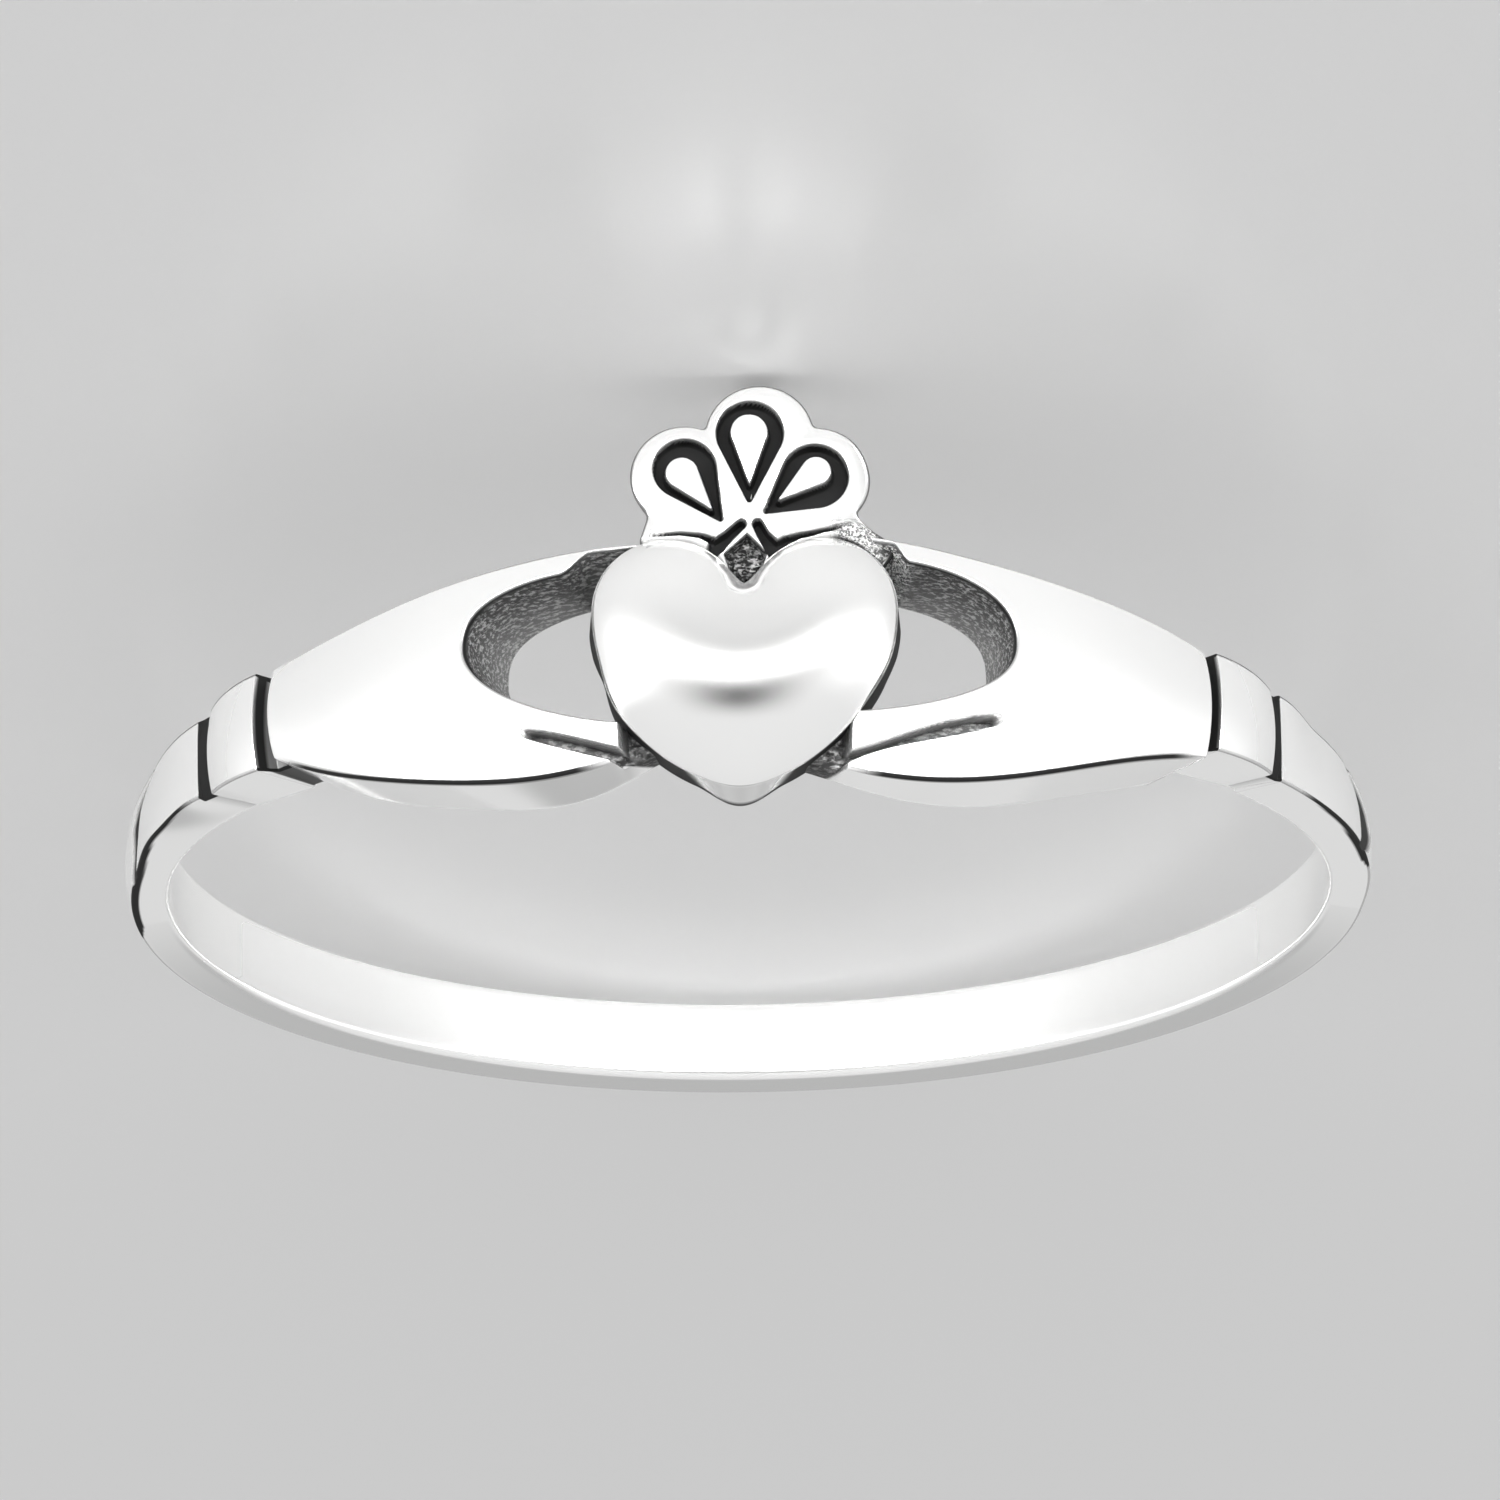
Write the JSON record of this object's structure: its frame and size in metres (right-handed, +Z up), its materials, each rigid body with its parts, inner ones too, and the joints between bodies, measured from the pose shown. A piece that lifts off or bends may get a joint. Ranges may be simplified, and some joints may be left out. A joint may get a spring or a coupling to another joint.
{
  "type": "claddagh ring",
  "caption": "Slim cast finger ring with a claddagh bezel: two cuffed hands hold a puffed heart under a three-lobed crown.",
  "frame": {"origin": "centre of the finger hole, on its axis and in the plain band's middle plane", "axes": "+Z up from the surface the ring lies on, -Y towards the heart, +Y towards the plain back of the band; the finger hole's axis leans 10 degrees from +Z towards +Y"},
  "size_m": [0.0186, 0.0194, 0.0062],
  "materials": {
    "silver": "polished sterling silver, blackened in its grooves and recesses"
  },
  "bodies": {
    "root": {"ring": "silver"}
  },
  "joints": []
}
